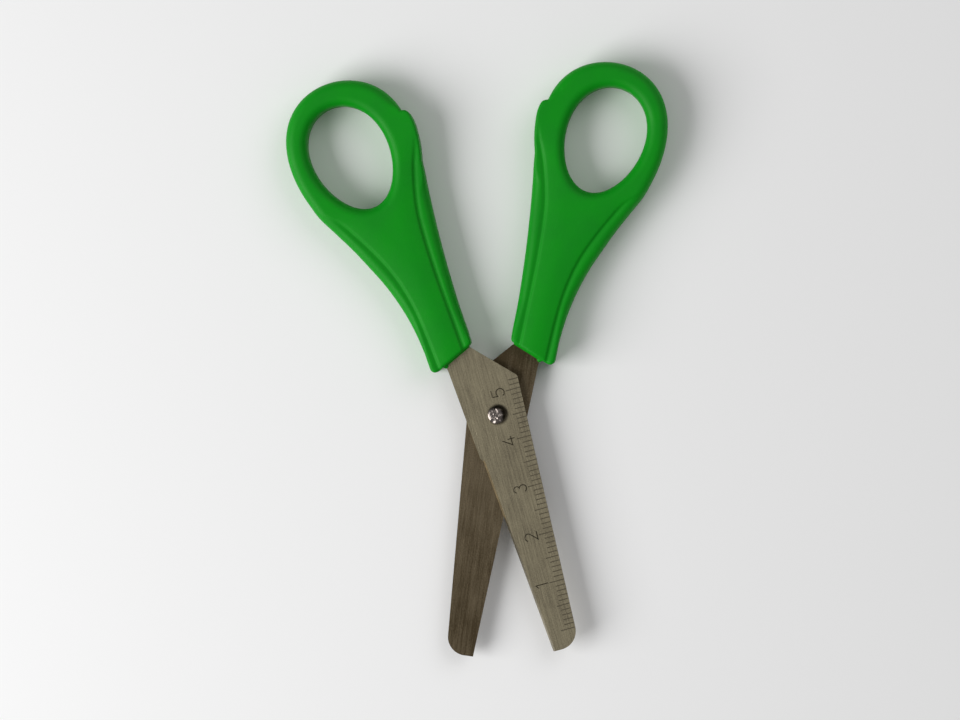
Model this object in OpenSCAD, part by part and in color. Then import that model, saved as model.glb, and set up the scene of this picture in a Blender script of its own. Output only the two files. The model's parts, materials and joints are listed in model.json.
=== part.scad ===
// Child's left-handed scissors: blunt tips, a stamped centimetre rule and green moulded handles.
//
// Millimetres, +Z up. The scissors lie flat on their handles, part open. +Y runs from the tips to the
// handles, and the origin is on the table under the centre of the object's box.
//
// One half is drawn closed about the pivot, with its handle on the -X side of the closing line and its
// blade's spine on the +X side. The other half is the same shape turned over.

/* [Opening] */
// Angle the halves are turned apart from closed, in degrees
opening = 23.13; // [1:0.01:110]

/* [Blades] */
// Thickness of each blade
blade_t = 1.2; // [0.9:0.05:1.4]
// Reach of the blades from the pivot to the tip
blade_reach = 49.5; // [47:0.5:60]
// Radius of the blunt tip's spine corner
tip_r = 3.8; // [2:0.1:4.2]
// Gap between the blades' inner faces
blade_gap = 0.05; // [0.02:0.01:0.1]
// Width of the ground bevel along the cutting edge
bevel_w = 0.4; // [0.2:0.05:0.6]

/* [Rule] */
// Last millimetre mark stamped on the blade
rule_length = 52; // [10:1:52]
// Depth of the stamped marks
stamp_depth = 0.12; // [0.05:0.01:0.2]

/* [Handles] */
// Thickness of each handle
handle_t = 8; // [6.6:0.1:10]
// Rounding of the handle's outer edges at the ring
ring_edge_r = 1.6; // [1:0.1:1.8]
// Rounding of the finger hole's edges
hole_edge_r = 1.8; // [1:0.1:2]
// How far the side rails lie below the middle panel
rail_drop = 0.35; // [0.1:0.05:0.5]

/* [Rivet] */
// Radius of the rivet's shank
rivet_r = 1.2; // [0.9:0.05:1.3]
// Radius of the rivet's domed head
head_r = 1.8; // [1.6:0.1:2.2]
// Height of the rivet's domed head
dome_h = 0.7; // [0.4:0.05:0.9]
// Radial running clearance in the front blade's bore
running_gap = 0.05; // [0.02:0.01:0.1]

/* [Hidden] */
$fn = 64;
slop = 0.01;                  // how far a cutter overruns the face it cuts

// Blade: the spine and the cutting edge are straight and narrow towards the tip.
spine_top = [6.25, 6.3];
spine_lean = 0.0452;          // how much the spine comes in for each millimetre down
heel = [-5.15, -8.3];         // where the ground cutting edge begins
edge_lean = 0.083;            // how much the cutting edge comes in for each millimetre down
heel_step = 0.4;              // the unground part stands this far outside the edge
shoulder = [-1.25, 14.5];     // where the shoulder runs into the handle
blade_low = blade_gap / 2;
blade_high = blade_low + blade_t;

// Tang, hidden in the handle, and the hole that locks it there.
tang_hole = [-7.2, 31];
tang_hole_r = 1.6;

// Rule, measured along the spine from the zero mark near the tip.
rule_zero = -45.8;
mark_w = 0.2;
millimetre_mark = 2;
half_mark = 2.7;
centimetre_mark = 3;
digit_foot = 3.35;            // distance of the digits' feet from the spine

// Handle outline: an egg-shaped ring, two long edges and a slanted mouth.
ring = [[-14.5, 57.6], 12.4, 16.5, -4.3, 0.21];
finger_hole_egg = [[-14.35, 58.2], 8, 11, 11.8, 0.1];
ring_start = 25;
ring_end = 205;
mouth_turn = 24.6;            // slant of the mouth
mouth_reach = 14.32;          // distance of the mouth from the pivot
outer_x = -10.45;             // the mouth's outer side
inner_x = -0.95;              // the mouth's inner side
outer_corner_r = 1.1;
inner_corner_r = 0.9;
shank_edge_r = 0.85;          // edge rounding at the mouth, growing to ring_edge_r at the ring
outer_edge = [[-23.9, 48], [-21.5, 44], [-19.1, 40], [-17, 36], [-15, 32], [-13.4, 28], [-12.15, 24],
    [-11.25, 20], [-10.65, 16]];
inner_edge = [[-1, 18], [-1.35, 24], [-1.5, 32], [-1.4, 40], [-1.1, 47], [-0.75, 53], [-0.85, 58]];

// Width of each side rail against the distance along the handle, and how far it is sunk there.
outer_rail = [[13, 0], [15, 1.7], [25, 2.3], [35, 2.8], [42, 2.6], [46, 2.3], [50, 1.6]];
inner_rail = [[16, 0], [18, 2], [28, 2.3], [40, 2.85], [44.5, 2.9], [49, 2.4], [53.5, 1.7]];
outer_sink = [[13, 0], [15, 1], [43, 1], [49, 0]];
inner_sink = [[16, 0], [18, 1], [50, 1], [57, 0]];
panel_slope = 0.3;            // width of the slope from a rail up to the panel
stop_bump = [[-3, 54], [-0.5, 55.4], [-0.1, 57.5], [0, 59.5], [-0.03, 61.4], [-0.25, 62.9], [-0.75, 64.2],
    [-1.6, 64.8], [-3, 64.6]];
stop_bump_t = 5.6;
mouth_collar_t = 3;

middle_y = (max(tips_y(handle_outline())) + min(tips_y(blade_outline()))) / 2;

// Point at angle t on an egg: [centre, half width, half length, tilt, how much wider the far end is].
function egg(shape, t) =
    let (x = shape[1] * (1 + shape[4] * sin(t)) * cos(t), y = shape[2] * sin(t), tilt = shape[3])
    shape[0] + [x * cos(tilt) - y * sin(tilt), x * sin(tilt) + y * cos(tilt)];

// Points of an arc.
function arc(centre, r, from, to, steps) =
    [for (i = [0:steps]) let (t = from + (to - from) * i / steps) centre + r * [cos(t), sin(t)]];

// Smooth curve through points, with some steps in each span.
function smooth(points, steps) =
    let (last = len(points) - 1)
    concat([for (i = [0:last - 1], k = [0:steps - 1])
        let (a = points[max(i - 1, 0)], b = points[i], c = points[i + 1], d = points[min(i + 2, last)])
        curve_point(a, b, c, d, k / steps)], [points[last]]);

// Point between b and c at t, from 0 to 1, on a curve that also heeds a and d.
function curve_point(a, b, c, d, t) =
    0.5 * (2 * b + (c - a) * t + (2 * a - 5 * b + 4 * c - d) * t * t + (3 * b - a - 3 * c + d) * t * t * t);

// Outward direction at each point of an anticlockwise outline, long enough to keep an inset even.
function outward(points) =
    let (n = len(points))
    [for (i = [0:n - 1])
        let (a = turn_right(points[i] - points[(i + n - 1) % n]),
            b = turn_right(points[(i + 1) % n] - points[i]))
        (a + b) / (1 + a * b)];

// Unit vector at a right angle, on the right-hand side of v.
function turn_right(v) = [v.y, -v.x] / norm(v);

// Distances along Y of the points of one half once it is opened.
function tips_y(points) = [for (p = points) p.x * sin(opening / 2) + p.y * cos(opening / 2)];

// Centre of a corner of radius r where the mouth meets a side at x.
function mouth_corner(x, r) = [x, (mouth_reach + r + x * sin(mouth_turn)) / cos(mouth_turn)];

// Outline of a handle, anticlockwise, without its stop bump and finger hole.
function handle_outline() = concat(
    [for (t = [ring_start:6:ring_end]) egg(ring, t)],
    smooth(outer_edge, 3),
    arc(mouth_corner(outer_x + outer_corner_r, outer_corner_r), outer_corner_r, 180, 270 + mouth_turn, 6),
    arc(mouth_corner(inner_x - inner_corner_r, inner_corner_r), inner_corner_r, 270 + mouth_turn, 360, 4),
    smooth(inner_edge, 3));

// Outline of a blade and its tang, anticlockwise from the cutting corner of the tip.
function blade_outline() = concat(
    [[heel.x + edge_lean * (blade_reach + heel.y), -blade_reach]],
    arc([spine_x(tip_r - blade_reach) - tip_r, tip_r - blade_reach], tip_r, 270, 360, 12),
    arc(spine_top - [1, 0], 1, 0, 45, 4),
    [shoulder, [-3.2, 16], [-3.6, 26]],
    smooth([[-5.2, 36], [-6.6, 38.6], [-8.8, 39], [-10.2, 37.4], [-10, 35]], 3),
    [[-8.6, 26], [-7.6, 16], [-7, 10.5], heel + [-heel_step, 0.6], heel]);

// Distance of the spine from the centre line.
function spine_x(y) = spine_top.x - spine_lean * (spine_top.y - y);

// Puts the half that is drawn face up in its place, on the front.
module front_half()
    translate([0, -middle_y, handle_t / 2])
        rotate(opening / 2)
            children();

// Turns the same shape over for the half behind.
module back_half()
    translate([0, -middle_y, handle_t / 2])
        rotate(-opening / 2)
            rotate([0, 180, 0])
                children();

// Half of a slab's edge: [inset, height] at each step from the middle up, for one point of the outline.
// shelf is [width, sink] of a rail beyond the rounded edge.
function edge_profile(half_t, r, shelf, steps) =
    let (low = half_t - shelf[1])
    concat([for (k = [0:steps]) let (t = 90 * k / steps) [r * (1 - cos(t)), low - r * (1 - sin(t))]],
        shelf[0] == 0 ? [] : [[shelf[0], low], [shelf[0] + panel_slope, half_t]]);

// Slab on both sides of z = 0, with its outline at the middle and rounded edges.
module rounded_slab(points, half_t, radii, shelves, steps = 4) {
    n = len(points);
    out = outward(points);
    edges = [for (i = [0:n - 1]) edge_profile(half_t, radii[i], shelves[i], steps)];
    rows = len(edges[0]);
    levels = concat([for (k = [rows - 1:-1:0]) [k, -1]], [for (k = [0:rows - 1]) [k, 1]]);
    corners = [for (level = levels, i = [0:n - 1])
        let (edge = edges[i][level[0]], p = points[i] - out[i] * edge[0])
        [p.x, p.y, level[1] * edge[1]]];
    sides = [for (k = [0:2 * rows - 2], i = [0:n - 1])
        let (j = (i + 1) % n)
        [k * n + i, (k + 1) * n + i, (k + 1) * n + j, k * n + j]];
    bottom = [for (i = [0:n - 1]) i];
    top = [for (i = [n - 1:-1:0]) (2 * rows - 1) * n + i];
    polyhedron(corners, concat(sides, [bottom, top]), convexity = 6);
}

// Radius of the edge rounding at a point of the handle's outline.
function handle_radius(p) = lookup(p.y, [[18, shank_edge_r], [48, ring_edge_r]]);

// Rail at a point of the handle's outline, as [width, sink].
function handle_rail(p) =
    let (inner = p.x > -6,
        width = lookup(p.y, inner ? inner_rail : outer_rail),
        sink = lookup(p.y, inner ? inner_sink : outer_sink))
    [max(width, handle_radius(p) + 0.1), rail_drop * sink];

// Cutter for the finger hole, with flared edges.
module finger_hole(steps = 4) {
    count = 56;
    half_t = handle_t / 2;
    ring_points = [for (i = [0:count - 1]) egg(finger_hole_egg, 360 * i / count)];
    out = outward(ring_points);
    over = 1.6;                // the last facet runs on past the face, so that the cut is clean
    rise = hole_edge_r * (1 - sin(90 - 90 / steps)) * over;
    flare = hole_edge_r * cos(90 - 90 / steps) * over;
    round_levels = [for (k = [0:steps - 1])
        let (t = 90 * k / steps) [hole_edge_r * (1 - cos(t)), half_t - hole_edge_r * (1 - sin(t))]];
    last = round_levels[steps - 1];
    upper = concat(round_levels, [last + [flare, rise]]);
    levels = concat([for (k = [steps:-1:0]) [upper[k][0], -upper[k][1]]], upper);
    rows = len(levels);
    corners = [for (level = levels, i = [0:count - 1])
        let (p = ring_points[i] + out[i] * level[0]) [p.x, p.y, level[1]]];
    sides = [for (k = [0:rows - 2], i = [0:count - 1])
        let (j = (i + 1) % count)
        [k * count + i, (k + 1) * count + i, (k + 1) * count + j, k * count + j]];
    bottom = [for (i = [0:count - 1]) i];
    top = [for (i = [count - 1:-1:0]) (rows - 1) * count + i];
    polyhedron(corners, concat(sides, [bottom, top]), convexity = 4);
}

// Blade and tang as one flat plate.
module blade_plate()
    translate([0, 0, blade_low])
        linear_extrude(blade_t)
            polygon(blade_outline());

// The tang's locking hole, which the handle's plastic fills.
module locking_hole()
    translate([tang_hole.x, tang_hole.y, blade_low - slop])
        cylinder(h = blade_t + 2 * slop, r = tang_hole_r);

// Wedge ground off the outer face along the cutting edge.
module bevel() {
    length = blade_reach + heel.y;
    translate([heel.x, heel.y, blade_low])
        rotate([90, 0, atan(edge_lean)])
            linear_extrude(length + 2)
                polygon([[-1, -slop], [0, -slop], [bevel_w * (1 + slop / blade_t), blade_t + slop],
                    [-1, blade_t + slop]]);
}

// Thick line along a path, as one flat shape.
module ribbon(path, width = mark_w) {
    last = len(path) - 1;
    side = [for (i = [0:last])
        let (a = turn_right(path[max(i, 1)] - path[max(i, 1) - 1]),
            b = turn_right(path[min(i + 1, last)] - path[min(i, last - 1)]))
        (a + b) / (1 + a * b)];
    polygon(concat([for (i = [0:last]) path[i] + side[i] * width / 2],
        [for (i = [last:-1:0]) path[i] - side[i] * width / 2]));
}

// Digits 1 to 5 of the rule, 2.6 high and centred on the Y axis.
module digit(n) {
    if (n == 1)
        ribbon([[-0.5, 2.1], [0.1, 2.6], [0.1, 0]]);
    if (n == 2)
        ribbon(concat(arc([0, 1.85], 0.75, 160, -35, 8), [[-0.8, 0], [0.9, 0]]));
    if (n == 3) {
        ribbon(arc([0, 1.95], 0.65, 160, -80, 8));
        ribbon(arc([0, 0.7], 0.75, 80, -160, 8));
    }
    if (n == 4) {
        ribbon([[0.9, 0.75], [-0.9, 0.75], [0.35, 2.6]]);
        ribbon([[0.4, 1.5], [0.4, 0]]);
    }
    if (n == 5)
        ribbon(concat([[0.8, 2.6], [-0.55, 2.6], [-0.65, 1.5]], arc([0, 0.85], 0.85, 120, -150, 9)));
}

// The whole rule as raised marks, to be sunk into the blade's outer face.
module rule_marks()
    linear_extrude(1) {
        for (i = [1:rule_length])
            rule_mark(rule_zero + i, mark_length(i));
        rule_mark(rule_zero, centimetre_mark);
        for (n = [1:floor(rule_length / 10)])
            translate([spine_x(rule_zero + 10 * n) - digit_foot, rule_zero + 10 * n])
                rotate(90)
                    digit(n);
    }

// Length of the rule's mark number i.
function mark_length(i) = i % 10 == 0 ? centimetre_mark : i % 5 == 0 ? half_mark : millimetre_mark;

// One mark of the rule, in from the spine.
module rule_mark(y, length)
    ribbon([[spine_x(y) - length, y], [spine_x(y) + 1, y]]);

// Blade with its tang, bored for the rivet.
module blade(bore_r)
    difference() {
        blade_plate();
        bevel();
        locking_hole();
        translate([0, 0, blade_low - slop])
            cylinder(h = blade_t + 2 * slop, r = bore_r);
    }

// Thin collar of plastic round the blade where it leaves the mouth, deepest beside the blade's edge.
module mouth_collar()
    translate([0, 0, -mouth_collar_t / 2])
        linear_extrude(mouth_collar_t)
            rotate(mouth_turn)
                translate([0, mouth_reach])
                    polygon([[-2.1, 2], [-2.1, 0], [-1.6, -0.9], [-1.2, -0.9], [-0.9, -0.3], [4.6, -0.3],
                        [4.9, 0], [4.9, 2]]);

// Moulded handle with its ring, rails and stop bump, open inside for the tang.
module handle() {
    outline = handle_outline();
    difference() {
        union() {
            difference() {
                rounded_slab(outline, handle_t / 2, [for (p = outline) handle_radius(p)],
                    [for (p = outline) handle_rail(p)]);
                finger_hole();
            }
            rounded_slab(stop_bump, stop_bump_t / 2, [for (p = stop_bump) 0.4], [for (p = stop_bump) [0, 0]], 2);
            mouth_collar();
        }
        difference() {
            blade_plate();
            locking_hole();
        }
    }
}

module ruler_blade()
    color("silver")
        front_half()
            difference() {
                blade(rivet_r + running_gap);
                translate([0, 0, blade_high - stamp_depth])
                    rule_marks();
            }

module plain_blade()
    color("darkgray")
        back_half()
            blade(rivet_r);

module ruler_handle()
    color("green")
        front_half()
            handle();

module plain_handle()
    color("forestgreen")
        back_half()
            handle();

// Rivet with a dome in front, a small play under it and a flat peened head behind.
module rivet() {
    under_dome = blade_high + 0.04;
    peened_h = 0.5;
    dome = concat([[0, under_dome + dome_h]],
        [for (t = [75:-15:15]) [head_r * cos(t), under_dome + 0.15 + (dome_h - 0.15) * sin(t)]],
        [[head_r, under_dome + 0.15], [head_r, under_dome]]);
    color("lightgray")
        front_half()
            rotate_extrude()
                polygon(concat(dome, [[rivet_r, under_dome], [rivet_r, -blade_high],
                    [head_r, -blade_high], [head_r - 0.2, -blade_high - peened_h],
                    [0, -blade_high - peened_h]]));
}

ruler_blade();
plain_blade();
ruler_handle();
plain_handle();
rivet();
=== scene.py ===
"""Looks for a pair of left-handed school scissors with green moulded handles and a stamped rule.

The two handles and the rivet are built here as finished surfaces. The two blades are the CAD nodes with
softened edges. Sizes of the scissors are in millimetres, counted from the pivot, until a mesh is placed
in the shared frame, which is in metres.
"""

import itertools
import json
import logging
import math
from dataclasses import dataclass, field
from enum import Enum
from typing import Callable

import bpy
import numpy as np
from mathutils import Matrix, Vector


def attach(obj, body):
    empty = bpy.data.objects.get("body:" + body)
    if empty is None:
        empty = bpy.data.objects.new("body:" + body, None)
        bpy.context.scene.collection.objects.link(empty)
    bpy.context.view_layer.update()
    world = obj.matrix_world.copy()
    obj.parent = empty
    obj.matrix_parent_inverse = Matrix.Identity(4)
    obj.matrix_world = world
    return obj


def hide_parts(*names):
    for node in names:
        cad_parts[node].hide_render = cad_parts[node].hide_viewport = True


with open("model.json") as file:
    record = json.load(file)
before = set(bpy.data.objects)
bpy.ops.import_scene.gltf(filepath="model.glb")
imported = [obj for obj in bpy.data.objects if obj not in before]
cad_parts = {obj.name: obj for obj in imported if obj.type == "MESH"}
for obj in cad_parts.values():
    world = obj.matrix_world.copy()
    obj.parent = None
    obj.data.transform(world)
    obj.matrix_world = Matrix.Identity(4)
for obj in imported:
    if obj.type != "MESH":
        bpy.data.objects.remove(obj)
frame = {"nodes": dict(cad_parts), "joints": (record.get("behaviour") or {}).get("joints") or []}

LOG = logging.getLogger("scissors")
MM = 0.001
REST_OPENING = 23.13  # degrees between the halves at rest, counted from closed
SEED = 7
PIVOT = tuple(frame["joints"][0]["pos_m"])

Points = np.ndarray
Line = tuple[tuple[float, float], ...]
Span = tuple[float, float]
Colour = tuple[float, float, float, float]
Value = bpy.types.NodeSocket | float | tuple[float, ...]


class Side(Enum):
    """Which of the two halves a piece belongs to."""

    FRONT = "front_half"
    BACK = "back_half"


# ---------------------------------------------------------------- plan curves


@dataclass(frozen=True)
class Egg:
    """An oval in plan that is wider at its far end.

    Attributes:
        centre: middle of the oval.
        half_width: half its size across.
        half_length: half its size along.
        tilt: how far its long axis leans to the left, in degrees.
        swell: how much wider the far end is, as a share of the width.
    """

    centre: tuple[float, float]
    half_width: float
    half_length: float
    tilt: float
    swell: float

    def points(self, start: float, end: float, count: int) -> Points:
        """Samples the oval.

        Args:
            start: first angle in degrees.
            end: last angle in degrees.
            count: how many points.

        Returns:
            The points, one row each.
        """
        turn = np.radians(np.linspace(start, end, count))
        across = self.half_width * (1 + self.swell * np.sin(turn)) * np.cos(turn)
        along = self.half_length * np.sin(turn)
        lean = math.radians(self.tilt)
        x = self.centre[0] + across * math.cos(lean) - along * math.sin(lean)
        y = self.centre[1] + across * math.sin(lean) + along * math.cos(lean)
        return np.stack([x, y], axis=-1)


def arc(centre: tuple[float, float], radius: float, start: float, end: float, count: int = 12) -> Points:
    """Samples a circular arc.

    Args:
        centre: centre of the arc.
        radius: its radius.
        start: first angle in degrees.
        end: last angle in degrees.
        count: how many points.

    Returns:
        The points, one row each.
    """
    turn = np.radians(np.linspace(start, end, count))
    return np.array(centre) + radius * np.stack([np.cos(turn), np.sin(turn)], axis=-1)


def smooth(points: Line, steps: int = 8) -> Points:
    """Draws a smooth curve through points.

    Args:
        points: the points to pass through.
        steps: how many points each span gets.

    Returns:
        The points of the curve, one row each.
    """
    known = np.array([points[0], *points, points[-1]], float)
    t = np.linspace(0, 1, steps, endpoint=False)[:, None]
    spans = []
    for a, b, c, d in zip(known, known[1:], known[2:], known[3:]):
        bend = (2 * a - 5 * b + 4 * c - d) * t**2 + (3 * b - a - 3 * c + d) * t**3
        spans.append(0.5 * (2 * b + (c - a) * t + bend))
    return np.concatenate([*spans, known[-1:]])


def distance_to_path(where: Points, path: Points) -> np.ndarray:
    """Measures how far points are from a path.

    Args:
        where: the points to measure from, one row each.
        path: the path's points, joined in order.

    Returns:
        One distance for each point.
    """
    nearest = np.full(len(where), np.inf)
    for start, end in zip(path, path[1:]):
        run = end - start
        length = run @ run
        if length == 0:
            continue
        share = np.clip((where - start) @ run / length, 0, 1)
        gap = where - start - share[:, None] * run
        nearest = np.minimum(nearest, np.einsum("ij,ij->i", gap, gap))
    return np.sqrt(nearest)


def is_inside(where: Points, outline: Points) -> np.ndarray:
    """Tells which points lie inside a closed outline.

    Args:
        where: the points to test, one row each.
        outline: the outline's points, joined in order and closed.

    Returns:
        True for each point inside.
    """
    inside = np.zeros(len(where), bool)
    for (x0, y0), (x1, y1) in zip(outline, np.roll(outline, -1, axis=0)):
        if y0 == y1:
            continue
        spans = (y0 > where[:, 1]) != (y1 > where[:, 1])
        inside ^= spans & (where[:, 0] < x0 + (where[:, 1] - y0) * (x1 - x0) / (y1 - y0))
    return inside


@dataclass
class PlanField:
    """A value known all over the plan of a handle, kept on a fine grid.

    Attributes:
        low: the plan's lower left corner.
        high: the plan's upper right corner.
        step: spacing of the grid.
        values: the value at each grid point.
    """

    low: tuple[float, float]
    high: tuple[float, float]
    step: float = 0.15
    values: np.ndarray = field(default_factory=lambda: np.zeros((0, 0)))

    def fill(self, rule: Callable[[Points], np.ndarray]) -> "PlanField":
        """Works the value out at every grid point.

        Args:
            rule: gives the value at each of a set of points.

        Returns:
            This field, filled.
        """
        xs = np.arange(self.low[0], self.high[0] + self.step, self.step)
        ys = np.arange(self.low[1], self.high[1] + self.step, self.step)
        grid = np.stack(np.meshgrid(xs, ys, indexing="ij"), axis=-1)
        self.values = rule(grid.reshape(-1, 2)).reshape(grid.shape[:2])
        return self

    def at(self, x: np.ndarray, y: np.ndarray) -> np.ndarray:
        """Reads the value between grid points.

        Args:
            x: places across.
            y: places along.

        Returns:
            The value at each place.
        """
        u = np.clip((x - self.low[0]) / self.step, 0, self.values.shape[0] - 1.001)
        v = np.clip((y - self.low[1]) / self.step, 0, self.values.shape[1] - 1.001)
        i, j = u.astype(int), v.astype(int)
        s, t = u - i, v - j
        near = self.values[i, j] * (1 - t) + self.values[i, j + 1] * t
        far = self.values[i + 1, j] * (1 - t) + self.values[i + 1, j + 1] * t
        return near * (1 - s) + far * s


# ---------------------------------------------------------------- solids from fields


def ease(x: np.ndarray, start: float, end: float) -> np.ndarray:
    """Rises smoothly from 0 at start to 1 at end."""
    t = np.clip((x - start) / (end - start), 0, 1)
    return t * t * (3 - 2 * t)


def rounded_plate(edge: np.ndarray, z: np.ndarray, half: np.ndarray, radius: np.ndarray) -> np.ndarray:
    """Field of a flat plate with rounded edges.

    Args:
        edge: distance from the plate's outline, below zero inside.
        z: height from the plate's middle.
        half: half the plate's thickness.
        radius: radius of its edges.

    Returns:
        A distance that is below zero inside the plate.
    """
    out = edge + radius
    up = np.abs(z) - (half - radius)
    corner = np.hypot(np.maximum(out, 0), np.maximum(up, 0))
    return corner + np.minimum(np.maximum(out, up), 0) - radius


def part_of(values: np.ndarray, corner: tuple[int, ...]) -> np.ndarray:
    """Values at one corner of every cell of a grid."""
    return values[tuple(slice(c, n - 1 + c) for c, n in zip(corner, values.shape))]


def net_points(values: np.ndarray) -> tuple[np.ndarray, Points]:
    """Puts one point in each cell that a surface passes through.

    Args:
        values: the field on a grid, below zero inside.

    Returns:
        The number of each cell's point, or -1, and the points in grid steps.
    """
    cells = tuple(n - 1 for n in values.shape)
    crossings = np.zeros(cells)
    total = np.zeros((*cells, 3))
    for a, b in itertools.combinations(itertools.product((0, 1), repeat=3), 2):
        if sum(abs(p - q) for p, q in zip(a, b)) != 1:
            continue
        start, end = part_of(values, a), part_of(values, b)
        crossed = (start < 0) != (end < 0)
        share = np.where(crossed, start / np.where(crossed, start - end, 1), 0)
        for axis in range(3):
            total[..., axis] += crossed * (a[axis] + share * (b[axis] - a[axis]))
        crossings += crossed
    used = crossings > 0
    number = np.full(cells, -1)
    number[used] = np.arange(used.sum())
    return number, np.argwhere(used) + total[used] / crossings[used][:, None]


def net_faces(values: np.ndarray, number: np.ndarray) -> np.ndarray:
    """Joins the points of neighbouring cells into outward-facing quads.

    Args:
        values: the field on a grid, below zero inside.
        number: the number of each cell's point.

    Returns:
        Four point numbers for each face.
    """
    solid = values < 0
    faces = []
    for axis in range(3):
        around = np.moveaxis(solid, (axis, (axis + 1) % 3, (axis + 2) % 3), (0, 1, 2))
        cell = np.moveaxis(number, (axis, (axis + 1) % 3, (axis + 2) % 3), (0, 1, 2))
        start, end = around[:-1, 1:-1, 1:-1], around[1:, 1:-1, 1:-1]
        ring = [cell[:, :-1, :-1], cell[:, 1:, :-1], cell[:, 1:, 1:], cell[:, :-1, 1:]]
        for crossed, order in ((start & ~end, ring), (~start & end, ring[::-1])):
            faces.append(np.stack([numbers[crossed] for numbers in order], axis=-1))
    return np.concatenate(faces)


@dataclass
class MouldedSolid:
    """A solid given by a rule, turned into a smooth mesh.

    Attributes:
        rule: gives a value below zero inside the solid, from x, y and z.
        low: lower corner of the space that holds it.
        high: upper corner of that space.
        cell: size of the mesh's faces.
        pulls: how many times the points are pulled onto the surface.
        longest_pull: how far one pull may move a point, in faces.
        nudge: how far from a point its slope is felt, in faces.
        least_slope: slope squared below which a pull is held back.
    """

    rule: Callable[[np.ndarray, np.ndarray, np.ndarray], np.ndarray]
    low: tuple[float, float, float]
    high: tuple[float, float, float]
    cell: float
    pulls: int = 4
    longest_pull: float = 0.4
    nudge: float = 0.1
    least_slope: float = 0.2

    def mesh(self) -> tuple[Points, np.ndarray]:
        """Builds the surface and pulls its points onto the exact shape.

        Returns:
            The points and the quads.
        """
        axes = [np.arange(a, b + self.cell, self.cell) for a, b in zip(self.low, self.high)]
        values = self.rule(*np.meshgrid(*axes, indexing="ij"))
        number, steps = net_points(values)
        points = np.array(self.low) + steps * self.cell
        for _ in range(self.pulls):
            points = self._pulled(points)
        return points, net_faces(values, number)

    def slope(self, points: Points) -> Points:
        """Direction in which the rule rises fastest at each point."""
        nudge = self.nudge * self.cell
        steps = np.eye(3) * nudge
        rise = [self.rule(*(points + s).T) - self.rule(*(points - s).T) for s in steps]
        return np.stack(rise, axis=-1) / (2 * nudge)

    def _pulled(self, points: Points) -> Points:
        """One step that moves each point towards the surface."""
        slope = self.slope(points)
        squared = np.maximum(np.einsum("ij,ij->i", slope, slope), self.least_slope)
        longest = self.longest_pull * self.cell
        reach = np.clip(self.rule(*points.T) / squared, -longest, longest)
        return points - reach[:, None] * slope


# ---------------------------------------------------------------- placing meshes


def place_half(points: Points, side: Side) -> Points:
    """Moves points of a closed half to where that half rests.

    Args:
        points: points about the pivot, in millimetres, as the front half is drawn.
        side: the half they belong to. The back half is the same shape turned over.

    Returns:
        The points in the shared frame, in metres.
    """
    turn = math.radians(REST_OPENING / 2)
    if side is Side.BACK:
        points = points * np.array([-1, 1, -1])
        turn = -turn
    spin = np.array(Matrix.Rotation(turn, 3, "Z"))
    return points @ spin.T * MM + np.array(PIVOT)


def new_object(name: str, points: Points, faces: np.ndarray | list, body: str) -> bpy.types.Object:
    """Makes a smooth-shaded object that rides on a body.

    Args:
        name: the piece's name.
        points: its points in the shared frame, in metres.
        faces: point numbers of each face.
        body: the body it moves with.

    Returns:
        The new object.
    """
    mesh = bpy.data.meshes.new(name)
    mesh.from_pydata(points.tolist(), [], [list(map(int, f)) for f in faces])
    mesh.polygons.foreach_set("use_smooth", [True] * len(mesh.polygons))
    mesh.update()
    obj = bpy.data.objects.new(name, mesh)
    bpy.context.scene.collection.objects.link(obj)
    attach(obj, body)
    return obj


def add_mask(obj: bpy.types.Object, name: str, values: np.ndarray) -> None:
    """Stores a value on every point of a mesh, for its material to read.

    Args:
        obj: the object.
        name: the value's name.
        values: one value for each point.
    """
    mask = obj.data.attributes.new(name, "FLOAT", "POINT")
    mask.data.foreach_set("value", np.asarray(values, np.float32))


# ---------------------------------------------------------------- shader tools


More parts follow.
